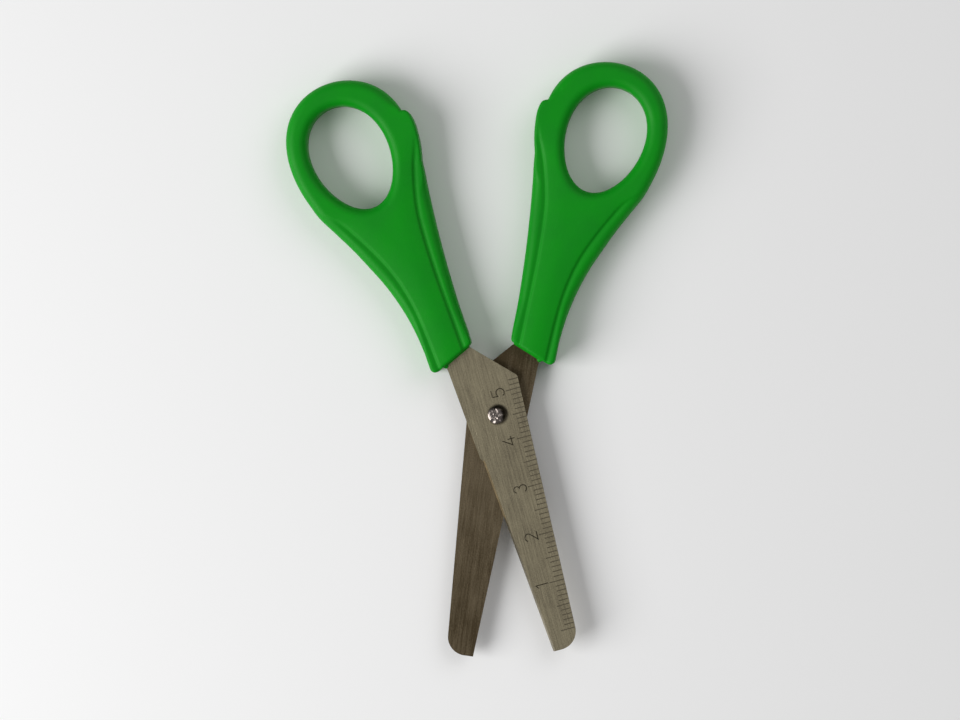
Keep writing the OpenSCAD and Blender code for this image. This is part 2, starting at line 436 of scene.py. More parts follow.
class Shader:
    """A node tree with short ways to add and join nodes."""

    def __init__(self, tree: bpy.types.NodeTree) -> None:
        """Starts on an existing node tree."""
        self.tree = tree

    def add(self, kind: str, **settings: object) -> bpy.types.Node:
        """Adds a node.

        Args:
            kind: the node's type, without its ShaderNode prefix.
            **settings: properties to set on the node.

        Returns:
            The new node.
        """
        node = self.tree.nodes.new("ShaderNode" + kind)
        for name, value in settings.items():
            setattr(node, name, value)
        return node

    def join(self, source: Value, target: bpy.types.NodeSocket) -> None:
        """Links a socket to another, or sets a plain value on it."""
        if isinstance(source, bpy.types.NodeSocket):
            self.tree.links.new(source, target)
        else:
            target.default_value = source

    def place(self) -> bpy.types.NodeSocket:
        """The object's own coordinates."""
        return self.add("TexCoord").outputs["Object"]

    def axis(self, name: str) -> bpy.types.NodeSocket:
        """One of the object's own coordinates."""
        parts = self.add("SeparateXYZ")
        self.join(self.place(), parts.inputs["Vector"])
        return parts.outputs[name]

    def vector(self, operation: str, a: Value, b: Value) -> bpy.types.Node:
        """Adds a Vector Math node that works on two vectors."""
        node = self.add("VectorMath", operation=operation)
        self.join(a, node.inputs[0])
        self.join(b, node.inputs[1])
        return node

    def noise(self, vector: bpy.types.NodeSocket, scale: Value, detail: float) -> bpy.types.NodeSocket:
        """Noise between 0 and 1.

        Args:
            vector: where to read it.
            scale: how fine it is.
            detail: how many finer layers it has.

        Returns:
            The value socket.
        """
        node = self.add("TexNoise")
        self.join(vector, node.inputs["Vector"])
        self.join(scale, node.inputs["Scale"])
        node.inputs["Detail"].default_value = detail
        return node.outputs["Fac"]

    def spread(self, value: Value, low: float, high: float, to: Span = (0.0, 1.0)) -> bpy.types.NodeSocket:
        """Stretches a value from low and high to a new range.

        Args:
            value: the socket or number to stretch.
            low: the value that becomes the range's start.
            high: the value that becomes the range's end.
            to: the new range.

        Returns:
            The value socket.
        """
        node = self.add("MapRange", clamp=True)
        for socket, content in zip(node.inputs, (value, low, high, *to)):
            self.join(content, socket)
        return node.outputs["Result"]

    def maths(self, operation: str, a: Value, b: Value = 0.0) -> bpy.types.NodeSocket:
        """Applies a Math node to two values."""
        node = self.add("Math", operation=operation)
        self.join(a, node.inputs[0])
        self.join(b, node.inputs[1])
        return node.outputs["Value"]

    def both(self, first: Value, second: Value) -> bpy.types.NodeSocket:
        """Multiplies two masks, so that only their shared part is left."""
        return self.maths("MULTIPLY", first, second)

    def mix(self, share: Value, a: Value, b: Value) -> bpy.types.NodeSocket:
        """Mixes two colours by a share between 0 and 1."""
        node = self.add("Mix", data_type="RGBA")
        self.join(share, node.inputs["Factor"])
        self.join(a, node.inputs["A"])
        self.join(b, node.inputs["B"])
        return node.outputs["Result"]

    def bump(self, height: bpy.types.NodeSocket, depth: float) -> bpy.types.NodeSocket:
        """Turns a height between 0 and 1 into a normal.

        Args:
            height: the height socket.
            depth: depth of the relief in metres.

        Returns:
            The normal socket.
        """
        node = self.add("Bump")
        node.inputs["Distance"].default_value = depth
        self.join(height, node.inputs["Height"])
        return node.outputs["Normal"]


class NodeGroup:
    """A shared effect: a node group with named inputs and outputs.

    Attributes:
        name: the group's name.
        inputs: its inputs and what each holds at first.
        outputs: its outputs.
    """

    name = "effect"
    inputs: dict[str, float] = {}
    outputs: tuple[str, ...] = ()

    def tree(self) -> bpy.types.NodeTree:
        """The group's tree, built the first time it is asked for."""
        known = bpy.data.node_groups.get(self.name)
        if known:
            return known
        tree = bpy.data.node_groups.new(self.name, "ShaderNodeTree")
        for name, value in self.inputs.items():
            socket = tree.interface.new_socket(name, in_out="INPUT", socket_type="NodeSocketFloat")
            socket.default_value = value
        for name in self.outputs:
            tree.interface.new_socket(name, in_out="OUTPUT", socket_type="NodeSocketFloat")
        shader = Shader(tree)
        given = tree.nodes.new("NodeGroupInput")
        result = tree.nodes.new("NodeGroupOutput")
        for name, value in self.build(shader, given).items():
            shader.join(value, result.inputs[name])
        return tree

    def build(self, shader: Shader, given: bpy.types.Node) -> dict[str, bpy.types.NodeSocket]:
        """Adds the group's own nodes.

        Args:
            shader: the group's tree.
            given: the node with the group's inputs.

        Returns:
            The socket that feeds each output.
        """
        raise NotImplementedError

    def place(self, shader: Shader, **values: float) -> bpy.types.Node:
        """Places the group in a material.

        Args:
            shader: the material's tree.
            **values: values of its inputs, with underscores for spaces.

        Returns:
            The group node.
        """
        node = shader.add("Group")
        node.node_tree = self.tree()
        for name, value in values.items():
            node.inputs[name.replace("_", " ")].default_value = value
        return node


class FineGrain(NodeGroup):
    """Small even grain with broader clouds, as on a moulded or blasted surface.

    Attributes:
        specks_per_cloud: how much finer the specks are than the clouds.
        speck_window: the part of their noise that the specks keep.
        grain_window: the part of the grain that shows in a colour.
    """

    name = "fine_grain"
    inputs = {"Grain Scale": 9000.0, "Cloud Scale": 120.0}
    outputs = ("Grain", "Clouds", "Specks")
    specks_per_cloud = 9.0
    speck_window = (0.66, 0.74)
    grain_window = (0.35, 0.65)

    def build(self, shader: Shader, given: bpy.types.Node) -> dict[str, bpy.types.NodeSocket]:
        """Adds the grain, the clouds and the specks.

        Args:
            shader: the group's tree.
            given: the node with the group's inputs.

        Returns:
            The sockets for Grain, Clouds and Specks.
        """
        place = shader.place()
        cloud_scale = given.outputs["Cloud Scale"]
        speck_scale = shader.maths("MULTIPLY", cloud_scale, self.specks_per_cloud)
        specks = shader.noise(place, speck_scale, 4.0)
        return {
            "Grain": shader.noise(place, given.outputs["Grain Scale"], 2.0),
            "Clouds": shader.noise(place, cloud_scale, 3.0),
            "Specks": shader.spread(specks, *self.speck_window),
        }


@dataclass(frozen=True)
class Stroke:
    """One kind of grinding line.

    Attributes:
        fineness: how many lines there are to a metre across, along and through the blade.
        detail: how many finer layers it has.
        window: the part of the noise that is kept.
    """

    fineness: tuple[float, float, float]
    detail: float
    window: Span


class DragLines(NodeGroup):
    """Fine parallel lines left by a grinding belt, with some deeper scratches.

    Attributes:
        strokes: the kinds of line, by output.
    """

    name = "drag_lines"
    inputs = {"Direction": 0.0}
    outputs = ("Lines", "Scratches", "Streaks")
    strokes = {
        "Lines": Stroke((7000, 250, 2000), 3.0, (0.3, 0.7)),
        "Scratches": Stroke((5000, 90, 2000), 2.0, (0.64, 0.74)),
        "Streaks": Stroke((2800, 130, 900), 3.0, (0.36, 0.66)),
    }

    def build(self, shader: Shader, given: bpy.types.Node) -> dict[str, bpy.types.NodeSocket]:
        """Adds lines that run along one direction in the plane of the blade.

        Args:
            shader: the group's tree.
            given: the node with the group's inputs.

        Returns:
            The sockets for Lines, Scratches and Streaks.
        """
        spin = shader.add("VectorRotate", rotation_type="Z_AXIS")
        shader.join(shader.place(), spin.inputs["Vector"])
        shader.join(shader.maths("RADIANS", given.outputs["Direction"]), spin.inputs["Angle"])
        found = {}
        for name, stroke in self.strokes.items():
            drawn = shader.vector("MULTIPLY", spin.outputs["Vector"], stroke.fineness)
            noise = shader.noise(drawn.outputs["Vector"], 1.0, stroke.detail)
            found[name] = shader.spread(noise, *stroke.window)
        return found


def new_material(name: str) -> tuple[bpy.types.Material, Shader, bpy.types.Node]:
    """Starts a material.

    Args:
        name: its name.

    Returns:
        The material, its tree and its Principled BSDF node.
    """
    material = bpy.data.materials.new(name)
    material.use_nodes = True
    shader = Shader(material.node_tree)
    return material, shader, material.node_tree.nodes["Principled BSDF"]


@dataclass(frozen=True)
class MouldedGreen:
    """Green plastic with a soft sheen, paler where fingers have rubbed its edges.

    Attributes:
        colour: the plain colour.
        dull: a slightly greyer and darker tone that clouds it.
        rubbed: the tone of rubbed edges.
        rub: how far the edges and the specks take the rubbed tone.
        rub_window: how strong the wear has to be to show, and to show fully.
        grain: how far the grain takes the dull tone.
        grain_scale: how fine the grain is.
        cloud_scale: how fine the clouds are.
        dull_window: the part of the clouds that takes the dull tone.
        roughness: least and greatest roughness.
        rough_window: the part of the clouds that changes the roughness.
        relief: depth of the grain, in metres.
        index: refractive index of the plastic.
        sheen: strength of its reflection.
    """

    colour: Colour = (0.0, 0.285, 0.004, 1)
    dull: Colour = (0.0, 0.25, 0.006, 1)
    rubbed: Colour = (0.001, 0.36, 0.012, 1)
    rub: Span = (0.5, 0.35)
    rub_window: Span = (0.2, 0.75)
    grain: float = 0.45
    grain_scale: float = 7000.0
    cloud_scale: float = 140.0
    dull_window: Span = (0.35, 0.7)
    roughness: Span = (0.45, 0.55)
    rough_window: Span = (0.3, 0.7)
    relief: float = 0.04 * MM
    index: float = 1.47
    sheen: float = 0.2

    def material(self) -> bpy.types.Material:
        """Builds the finish.

        Returns:
            The material.
        """
        material, shader, surface = new_material("moulded_green")
        texture = FineGrain().place(shader, Grain_Scale=self.grain_scale, Cloud_Scale=self.cloud_scale)
        grain, clouds, specks = (texture.outputs[name] for name in FineGrain.outputs)
        rim = shader.add("Attribute", attribute_name="rim").outputs["Fac"]
        on_edges, on_specks = self.rub
        colour = shader.mix(shader.spread(clouds, *self.dull_window), self.colour, self.dull)
        wear_and_highlight = shader.spread(shader.both(rim, clouds), *self.rub_window, (0.0, on_edges))
        colour = shader.mix(wear_and_highlight, colour, self.rubbed)
        grainy = shader.spread(grain, *FineGrain.grain_window, (0.0, self.grain))
        colour = shader.mix(grainy, colour, self.dull)
        colour = shader.mix(shader.maths("MULTIPLY", specks, on_specks), colour, self.rubbed)
        shader.join(colour, surface.inputs["Base Color"])
        shader.join(shader.spread(clouds, *self.rough_window, self.roughness), surface.inputs["Roughness"])
        shader.join(shader.bump(grain, self.relief), surface.inputs["Normal"])
        surface.inputs["IOR"].default_value = self.index
        surface.inputs["Specular IOR Level"].default_value = self.sheen
        return material


@dataclass(frozen=True)
class StampedFace:
    """Masks for the face that carries the stamped rule: dirt in the marks, a painted highlight on the rims
    and a painted shadow beside the rivet.

    Attributes:
        height: height of the face above the pivot.
        floor_starts: depths between which the floors of the marks begin.
        floor_ends: depths between which anything deeper is left out again.
        rim_starts: depths between which the polished rims begin.
        rim_ends: depths between which they end.
        rim_highlight: how bright the painted highlight on the rims is.
        spine: distance of the spine from the centre line, level with the pivot.
        spine_lean: how much the spine comes in for each millimetre down.
        digits: where the digits begin and end, in from the spine.
        digit_dirt: how dirty the digits are.
        fade: width over which the dirt of the digits begins.
        rivet_shadow_middle: middle of the painted shadow of the rivet's head, to the right of the pivot
            and above it.
        rivet_shadow_reach: distances from there where the painted shadow begins and where it is full.
        rivet_shadow_strength: how dark the painted shadow is in thin places and in thick ones.
        rivet_shadow_window: the part of the clouds that makes the painted shadow uneven.
    """

    height: float = 1.225
    floor_starts: Span = (0.05, 0.09)
    floor_ends: Span = (0.2, 0.15)
    rim_starts: Span = (0.003, 0.015)
    rim_ends: Span = (0.085, 0.05)
    rim_highlight: float = 0.8
    spine: float = 5.965
    spine_lean: float = 0.0452
    digits: Span = (3.2, 5.9)
    digit_dirt: float = 0.7
    fade: float = 0.1
    rivet_shadow_middle: Span = (0.35, 0.1)
    rivet_shadow_reach: Span = (2.3, 1.85)
    rivet_shadow_strength: Span = (0.5, 1.0)
    rivet_shadow_window: Span = (0.3, 0.6)

    def _below(self, shader: Shader, start: float, end: float) -> bpy.types.NodeSocket:
        """Mask that grows from 0 at one depth below the face to 1 at another."""
        face = PIVOT[2] + self.height * MM
        return shader.spread(shader.axis("Z"), face - start * MM, face - end * MM)

    def floors(self, shader: Shader) -> bpy.types.NodeSocket:
        """Mask of the floors of the stamped marks, which stay dirty."""
        return shader.both(self._below(shader, *self.floor_starts), self._below(shader, *self.floor_ends))

    def rims(self, shader: Shader) -> bpy.types.NodeSocket:
        """Mask of a painted highlight along the rims of the stamped marks and of the face."""
        rims = shader.both(self._below(shader, *self.rim_starts), self._below(shader, *self.rim_ends))
        return shader.maths("MULTIPLY", rims, self.rim_highlight)

    def digit_floors(self, shader: Shader, floors: bpy.types.NodeSocket) -> bpy.types.NodeSocket:
        """Mask of the floors of the digits, which are dirtier than those of the rule.

        Args:
            shader: the material's tree.
            floors: the mask of all floors.

        Returns:
            The mask's socket.
        """
        turn = math.radians(REST_OPENING / 2)
        across = Vector((math.cos(turn), math.sin(turn), 0))
        along = Vector((-math.sin(turn), math.cos(turn), 0))
        straight = across - self.spine_lean * along
        spine = Vector(PIVOT).dot(straight) + self.spine * MM
        place = shader.vector("DOT_PRODUCT", shader.place(), tuple(straight)).outputs["Value"]
        near, far = (spine - edge * MM for edge in self.digits)
        band = shader.both(shader.spread(place, near, near - self.fade * MM),
                           shader.spread(place, far, far + self.fade * MM))
        return shader.both(shader.maths("MULTIPLY", band, self.digit_dirt), floors)

    def rivet_shadow(self, shader: Shader, clouds: bpy.types.NodeSocket) -> bpy.types.NodeSocket:
        """Mask of a painted shadow of the rivet's head, dark and uneven, to its right on the face.

        Args:
            shader: the material's tree.
            clouds: a broad noise that makes it uneven.

        Returns:
            The mask's socket.
        """
        right, up = self.rivet_shadow_middle
        middle = Vector(PIVOT) + Vector((right, up, self.height)) * MM
        away = shader.vector("DISTANCE", shader.place(), tuple(middle)).outputs["Value"]
        near = shader.spread(away, *(reach * MM for reach in self.rivet_shadow_reach))
        return shader.both(near, shader.spread(clouds, *self.rivet_shadow_window, self.rivet_shadow_strength))


@dataclass(frozen=True)
class GroundSteel:
    """Stainless steel as it leaves the grinding belt, a little dulled by use.

    Attributes:
        name: the material's name.
        bright: colour of the ridges.
        dark: colour of the hollows and of stamped marks.
        direction: direction of the lines, in degrees from the Y axis.
        roughness: roughness of the bright parts.
        dulling: how much rougher the dark parts are.
        face: the face with the stamped rule, or None where nothing is stamped.
        shadow_and_tip_darkening: how much painted shadow darkens the steel towards the handle, and how
            much darker it is towards the tip.
        handle_shadow_span: where the painted shadow towards the handle begins and ends, along from the
            pivot.
        tip_darkening_span: where the darkening towards the tip begins and ends.
        streaks: how much the streaks darken it.
        scratches: how much the scratches darken it.
        clouds: how much the clouds darken it.
        cloud_window: the part of the clouds that darkens it.
        cloud_scale: how fine the clouds are.
        speckle: how much the grain darkens it.
        grain_scale: how fine the grain is.
        relief: depth of the grinding lines, in metres.
        wear_and_highlight: colour of the painted highlight on the rims.
        dirt_and_shade: colour of the dirt in the digits, of the painted shadow beside the rivet and of the
            painted shade on the rivet.
    """

    name: str
    bright: Colour
    dark: Colour
    direction: float
    roughness: float = 0.36
    dulling: float = 0.16
    face: StampedFace | None = None
    shadow_and_tip_darkening: Span = (0.0, 0.0)
    handle_shadow_span: Span = (4.0, 13.0)
    tip_darkening_span: Span = (-12.0, -42.0)
    streaks: float = 0.34
    scratches: float = 0.25
    clouds: float = 0.3
    cloud_window: Span = (0.3, 0.75)
    cloud_scale: float = 160.0
    speckle: float = 0.4
    grain_scale: float = 5000.0
    relief: float = 0.012 * MM
    wear_and_highlight: Colour = (0.85, 0.8, 0.65, 1)
    dirt_and_shade: Colour = (0.02, 0.016, 0.011, 1)

    def material(self) -> bpy.types.Material:
        """Builds the finish.

        Returns:
            The material.
        """
        material, shader, surface = new_material(self.name)
        drag = DragLines().place(shader, Direction=self.direction)
        grain = FineGrain().place(shader, Grain_Scale=self.grain_scale, Cloud_Scale=self.cloud_scale)
        scratched = shader.maths("MULTIPLY", drag.outputs["Scratches"], self.scratches)
        darkening = [
            scratched,
            shader.spread(grain.outputs["Clouds"], *self.cloud_window, (0.0, self.clouds)),
            shader.spread(grain.outputs["Grain"], *FineGrain.grain_window, (0.0, self.speckle)),
            # Painted shadow towards the handle, and a darkening towards the tip.
            *self._handle_shadow_and_tip_darkening(shader),
        ]
        floors = self.face.floors(shader) if self.face else 0.0
        shade = shader.maths("MULTIPLY", drag.outputs["Streaks"], self.streaks)
        for cause in (*darkening, floors):
            shade = shader.maths("ADD", shade, cause)
        colour = shader.mix(shader.spread(shade, 0.0, 1.0), self.bright, self.dark)
        if self.face:
            # Painted highlight along the rims of the marks and of the face.
            colour = shader.mix(self.face.rims(shader), colour, self.wear_and_highlight)
            colour = shader.mix(self.face.digit_floors(shader, floors), colour, self.dirt_and_shade)
            # Painted shadow of the rivet's head, to its right on the face.
            colour = shader.mix(self.face.rivet_shadow(shader, grain.outputs["Clouds"]), colour, self.dirt_and_shade)
        # Painted shade on the rivet's dome, from the mask that the rivet carries.
        painted_rivet_shade = shader.add("Attribute", attribute_name="dirt_and_shade").outputs["Fac"]
        shader.join(shader.mix(painted_rivet_shade, colour, self.dirt_and_shade), surface.inputs["Base Color"])
        surface.inputs["Metallic"].default_value = 1.0
        rough = shader.spread(shade, 0.0, 1.0, (self.roughness, self.roughness + self.dulling))
        shader.join(rough, surface.inputs["Roughness"])
        height = shader.maths("SUBTRACT", drag.outputs["Lines"], scratched)
        shader.join(shader.bump(height, self.relief), surface.inputs["Normal"])
        return material

    def _handle_shadow_and_tip_darkening(self, shader: Shader) -> list[bpy.types.NodeSocket]:
        """How much painted shadow darkens the steel towards the handle, and how much darker it is towards
        the tip.
        """
        along = shader.axis("Y")
        return [shader.spread(along, PIVOT[1] + start * MM, PIVOT[1] + end * MM, (0.0, strength))
                for (start, end), strength in zip((self.handle_shadow_span, self.tip_darkening_span), self.shadow_and_tip_darkening)]


FRONT_STEEL = GroundSteel(
    "front_steel",
    bright=(0.5, 0.44, 0.295, 1),
    dark=(0.15, 0.13, 0.09, 1),
    direction=-REST_OPENING / 2,
    face=StampedFace(),
)
# Darker colours than the front steel: part of that is painted shade, as this blade lies lower, tilted and
# in the front blade's shadow.
BACK_STEEL = GroundSteel(
    "back_steel",
    bright=(0.28, 0.225, 0.145, 1),
    dark=(0.075, 0.055, 0.03, 1),
    direction=REST_OPENING / 2,
    # Painted shadow near the handle, and darker towards the tip.
    shadow_and_tip_darkening=(0.6, 0.3),
)
RIVET_STEEL = GroundSteel(
    "rivet_steel",
    bright=(0.4, 0.35, 0.32, 1),
    dark=(0.1, 0.085, 0.075, 1),
    direction=0.0,
    roughness=0.2,
)


# ---------------------------------------------------------------- the handles


@dataclass
class MouldedHandle:
    """A moulded handle: finger ring, waisted shank with two side rails, stop bump and mouth.

    Attributes:
        side: the half it belongs to.
        half: half its thickness.
        plan: lower left and upper right corner of the space round it in plan.
        ring: outer line of the finger ring.
        hole: the finger hole.
        ring_stretch: first and last angle of the part of the ring's line that is used.
        egg_steps: how many points an egg-shaped line gets.
        outer_edge: the shank's edge away from the other handle.
        inner_edge: the shank's edge towards the other handle.
        outer_rail: line where the outer rail meets the panel.
        inner_rail: line where the inner rail meets the panel.
        outer_fade: stretch along the handle over which the outer rail runs out.
        inner_fade: stretch along the handle over which the inner rail runs out.
        bump: outline of the stop bump.
        mouth_turn: slant of the mouth in degrees.
        mouth_reach: distance of the mouth from the pivot.
        mouth_corners: side of the mouth and radius of the corner there, first on the outer side.
        collar_depths: places along the mouth and how far the collar round the blade stands out there.
        collar_half: half the collar's thickness.
        collar_round: radius of the collar's edges.
        rail_drop: how deep the grooves beside the panel are.
        groove: how far before and beyond a rail's line the groove's near side falls.
        bead: how far beyond a rail's line the rail rises out of the groove.
        bead_height: how high it rises, as a share of the groove's depth.
        crown: how much lower the panel's sides are than its middle.
        crown_reach: how far in from its sides the panel rises.
        skin: how far the surface stays inside the drawn outline.
        ring_round: radius of the ring's outer edge.
        shank_round: radius of the shank's edges.
        bump_round: radius of the stop bump's edges.
        bump_blend: distances from the bump's line between which its rounding gives way to the shank's.
        round_places: where the mouth's rounding ends, the shank's begins and ends, and the ring's begins.
        mouth_round: radius of the mouth's edges.
        hole_round: radius of the finger hole's edges.
        cell: size of the mesh's faces.
        space: lower left and upper right corner of the space that is meshed.
        headroom: how far that space goes beyond the faces.
        rim_window: from which share of an edge's turn the edge counts as a rim, and from which fully.
    """

    side: Side
    half: float = 4.0
    plan: tuple[Span, Span] = ((-29.0, 9.0), (3.0, 76.0))
    ring: Egg = Egg((-14.5, 57.6), 12.4, 16.5, -4.3, 0.21)
    hole: Egg = Egg((-14.35, 58.2), 8.0, 11.0, 11.8, 0.1)
    ring_stretch: Span = (25.0, 205.0)
    egg_steps: int = 160
    outer_edge: Line = ((-23.9, 48), (-21.5, 44), (-19.1, 40), (-17, 36), (-15, 32), (-13.4, 28),
                        (-12.15, 24), (-11.25, 20), (-10.65, 16))
    inner_edge: Line = ((-1, 18), (-1.35, 24), (-1.5, 32), (-1.4, 40), (-1.1, 47), (-0.75, 53),
                        (-0.85, 58))
    outer_rail: Line = ((-25, 49.2), (-22.2, 48), (-19.75, 46), (-17.3, 42.5), (-15.15, 39),
                        (-13.25, 35.5), (-11.75, 32), (-10.65, 28.5), (-9.85, 25), (-9.25, 21),
                        (-8.8, 17), (-8.4, 13), (-8, 9))
    inner_rail: Line = ((-0.2, 62.5), (-0.8, 60), (-1.6, 57), (-2.75, 53.5), (-3.8, 49), (-4.5, 44.5),
                        (-4.65, 40), (-4.5, 34), (-4.15, 28), (-3.6, 21), (-3.1, 14), (-2.8, 9))
    outer_fade: Span = (43.0, 50.0)
    inner_fade: Span = (52.0, 61.5)
    bump: Line = ((-6, 52), (-2.5, 50.5), (-1.05, 52.5), (-0.6, 54.5), (-0.25, 56.5), (-0.06, 58.5),
                  (-0.02, 60), (-0.06, 61.6), (-0.25, 62.9), (-0.75, 64.2), (-1.6, 64.75),
                  (-3.2, 64.6), (-6, 62))
    mouth_turn: float = 24.6
    mouth_reach: float = 14.32
    mouth_corners: Line = ((-10.45, 1.1), (-0.95, 0.9))
    collar_depths: Line = ((-2.1, -2.0), (-2.1, 0), (-1.7, 0.6), (-1.2, 0.6), (-0.9, 0.25), (4.6, 0.25),
                           (4.9, 0), (4.9, -2.0))
    collar_half: float = 1.5
    collar_round: float = 0.15
    rail_drop: float = 0.36
    groove: Span = (-0.2, 0.4)
    bead: Span = (0.35, 1.3)
    bead_height: float = 0.5
    crown: float = 0.34
    crown_reach: float = 4.2
    skin: float = 0.02
    ring_round: float = 1.9
    shank_round: float = 1.8
    bump_round: float = 0.5
    bump_blend: Span = (-0.5, 3.0)
    round_places: tuple[float, ...] = (16, 24, 40, 52)
    mouth_round: float = 0.6
    hole_round: float = 1.9
    cell: float = 0.25
    space: tuple[Span, Span] = ((-28.0, 9.5), (1.0, 75.0))
    headroom: float = 0.6
    rim_window: Span = (0.25, 0.875)

    @property
    def name(self) -> str:
        """Name of the CAD node this handle stands for."""
        return "ruler_handle" if self.side is Side.FRONT else "plain_handle"

    def outline(self) -> Points:
        """Outline of the handle without its stop bump, closed and anticlockwise."""
        (outer_x, outer_round), (inner_x, inner_round) = self.mouth_corners
        turn = 270 + self.mouth_turn
        ring = self.ring.points(*self.ring_stretch, self.egg_steps)
        return np.concatenate([
            ring[:-1],
            smooth((tuple(ring[-1]), *self.outer_edge)),
            arc(self._mouth_corner(outer_x + outer_round, outer_round), outer_round, 180, turn),
            arc(self._mouth_corner(inner_x - inner_round, inner_round), inner_round, turn, 360),
            smooth(self.inner_edge),
        ])

    def _mouth_corner(self, x: float, radius: float) -> tuple[float, float]:
        """Centre of a rounded corner of the mouth."""
        lean = math.radians(self.mouth_turn)
        return x, (self.mouth_reach + radius + x * math.sin(lean)) / math.cos(lean)

    def collar(self) -> Points:
        """Outline of the thin collar round the blade, deepest beside the blade's edge."""
        lean = math.radians(self.mouth_turn)
        local = np.array([(along, self.mouth_reach - depth) for along, depth in self.collar_depths])
        spin = np.array([[math.cos(lean), -math.sin(lean)], [math.sin(lean), math.cos(lean)]])
        return local @ spin.T

    def fields(self) -> dict[str, PlanField]:
        """Works out the distances in plan that shape the handle.

        Returns:
            The distance fields by name.
        """

        def closed(points: Points) -> PlanField:
            """Distance from a closed outline, below zero inside."""
            loop = np.concatenate([points, points[:1]])
            return PlanField(*self.plan).fill(
                lambda p: distance_to_path(p, loop) * np.where(is_inside(p, points), -1, 1))

        def beyond(line: Line, far_x: float) -> PlanField:
            """Distance beyond a line, above zero on the side where far_x lies."""
            path = smooth(line)
            region = np.concatenate([path, [(far_x, path[-1][1]), (far_x, path[0][1])]])
            return PlanField(*self.plan).fill(
                lambda p: distance_to_path(p, path) * np.where(is_inside(p, region), 1, -1))

        (left, _), (right, _) = self.plan
        return {
            "outline": closed(self.outline()),
            "hole": closed(self.hole.points(0, 360, self.egg_steps)[:-1]),
            "outer_rail": beyond(self.outer_rail, left - 1),
            "inner_rail": beyond(self.inner_rail, right + 1),
            "bump": closed(smooth(self.bump)),
            "collar": closed(self.collar()),
        }

    def sunk(self, fields: dict[str, PlanField], x: np.ndarray, y: np.ndarray) -> np.ndarray:
        """Depth below the middle of the panel: its crown, a soft groove, then a rounded rail.

        Args:
            fields: the distances in plan.
            x: places across.
            y: places along.

        Returns:
            The depth at each place.
        """
        depth = 0.0
        for name, (start, end) in (("outer_rail", self.outer_fade), ("inner_rail", self.inner_fade)):
            beyond = fields[name].at(x, y)
            fall = self.crown * np.clip(1 + beyond / self.crown_reach, 0, 1) ** 2
            bead = 1 - self.bead_height * ease(beyond, *self.bead)
            groove = self.rail_drop * ease(beyond, *self.groove) * bead
            depth = depth + (np.minimum(fall, self.crown) + groove) * (1 - ease(y, start, end))
        return depth

    def rounding(self, y: np.ndarray) -> np.ndarray:
        """Radius of the outer edges, from the mouth along the shank to the ring."""
        radii = (self.mouth_round, self.shank_round, self.shank_round, self.ring_round)
        return np.interp(y, self.round_places, radii)

    def solid(self, fields: dict[str, PlanField]) -> Callable[..., np.ndarray]:
        """Puts the handle together as one rule.

        Args:
            fields: the distances in plan.

        Returns:
            A rule that is below zero inside the handle.
        """

        def rule(x: np.ndarray, y: np.ndarray, z: np.ndarray) -> np.ndarray:
            """Value at each place, below zero inside."""
            top = self.half - self.sunk(fields, x, y)
            stop = fields["bump"].at(x, y)
            off_bump = ease(stop, *self.bump_blend)
            edge_round = self.bump_round + (self.rounding(y) - self.bump_round) * off_bump
            edge = np.minimum(fields["outline"].at(x, y), stop) + self.skin
            body = rounded_plate(edge, z, top, edge_round)
            hole = rounded_plate(-fields["hole"].at(x, y), z, top, self.hole_round)
            collar = rounded_plate(fields["collar"].at(x, y), z, self.collar_half, self.collar_round)
            return np.minimum(np.maximum(body, hole), collar)

        return rule

    def build(self) -> bpy.types.Object:
        """Builds the handle's mesh in place of its CAD node.

        Returns:
            The handle.
        """
        fields = self.fields()
        (left, mouth), (right, end) = self.space
        above = self.half + self.headroom
        solid = MouldedSolid(self.solid(fields), (left, mouth, -above), (right, end, above), self.cell)
        points, quads = solid.mesh()
        handle = new_object(self.name + "_moulding", place_half(points, self.side), quads, self.side.value)
        add_mask(handle, "rim", self.rims(np.abs(solid.slope(points)[:, 2])))
        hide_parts(self.name)
        return handle

    def rims(self, up: np.ndarray) -> np.ndarray:
        """Mask of the rounded edges, strongest where the surface faces half up."""
        start, full = self.rim_window
        return np.clip((1 - np.abs(2 * up - 1) - start) / (full - start), 0, 1)

    def dress(self, handle: bpy.types.Object, finish: bpy.types.Material) -> None:
        """Gives the handle its plastic."""
        handle.data.materials.append(finish)


# ---------------------------------------------------------------- the blades and the rivet


@dataclass
class Blade:
    """A stamped and ground blade, kept from the CAD model with its edges softened.

    Attributes:
        node: name of its CAD node.
        edge_round: width of the softening of its edges.
        sharpest: angle in degrees above which an edge is softened.
    """

    node: str
    edge_round: float = 0.07
    sharpest: float = 50.0

    def build(self) -> bpy.types.Object:
        """Softens the sharp edges of the CAD node.

        Returns:
            The blade.
        """
        blade = frame["nodes"][self.node]
        soften = blade.modifiers.new("softened edges", "BEVEL")
        soften.width = self.edge_round * MM
        soften.segments = 2
        soften.limit_method = "ANGLE"
        soften.angle_limit = math.radians(self.sharpest)
        soften.harden_normals = True
        return blade

    def dress(self, blade: bpy.types.Object, finish: bpy.types.Material) -> None:
        """Gives the blade its ground steel."""
        blade.data.materials.clear()
        blade.data.materials.append(finish)


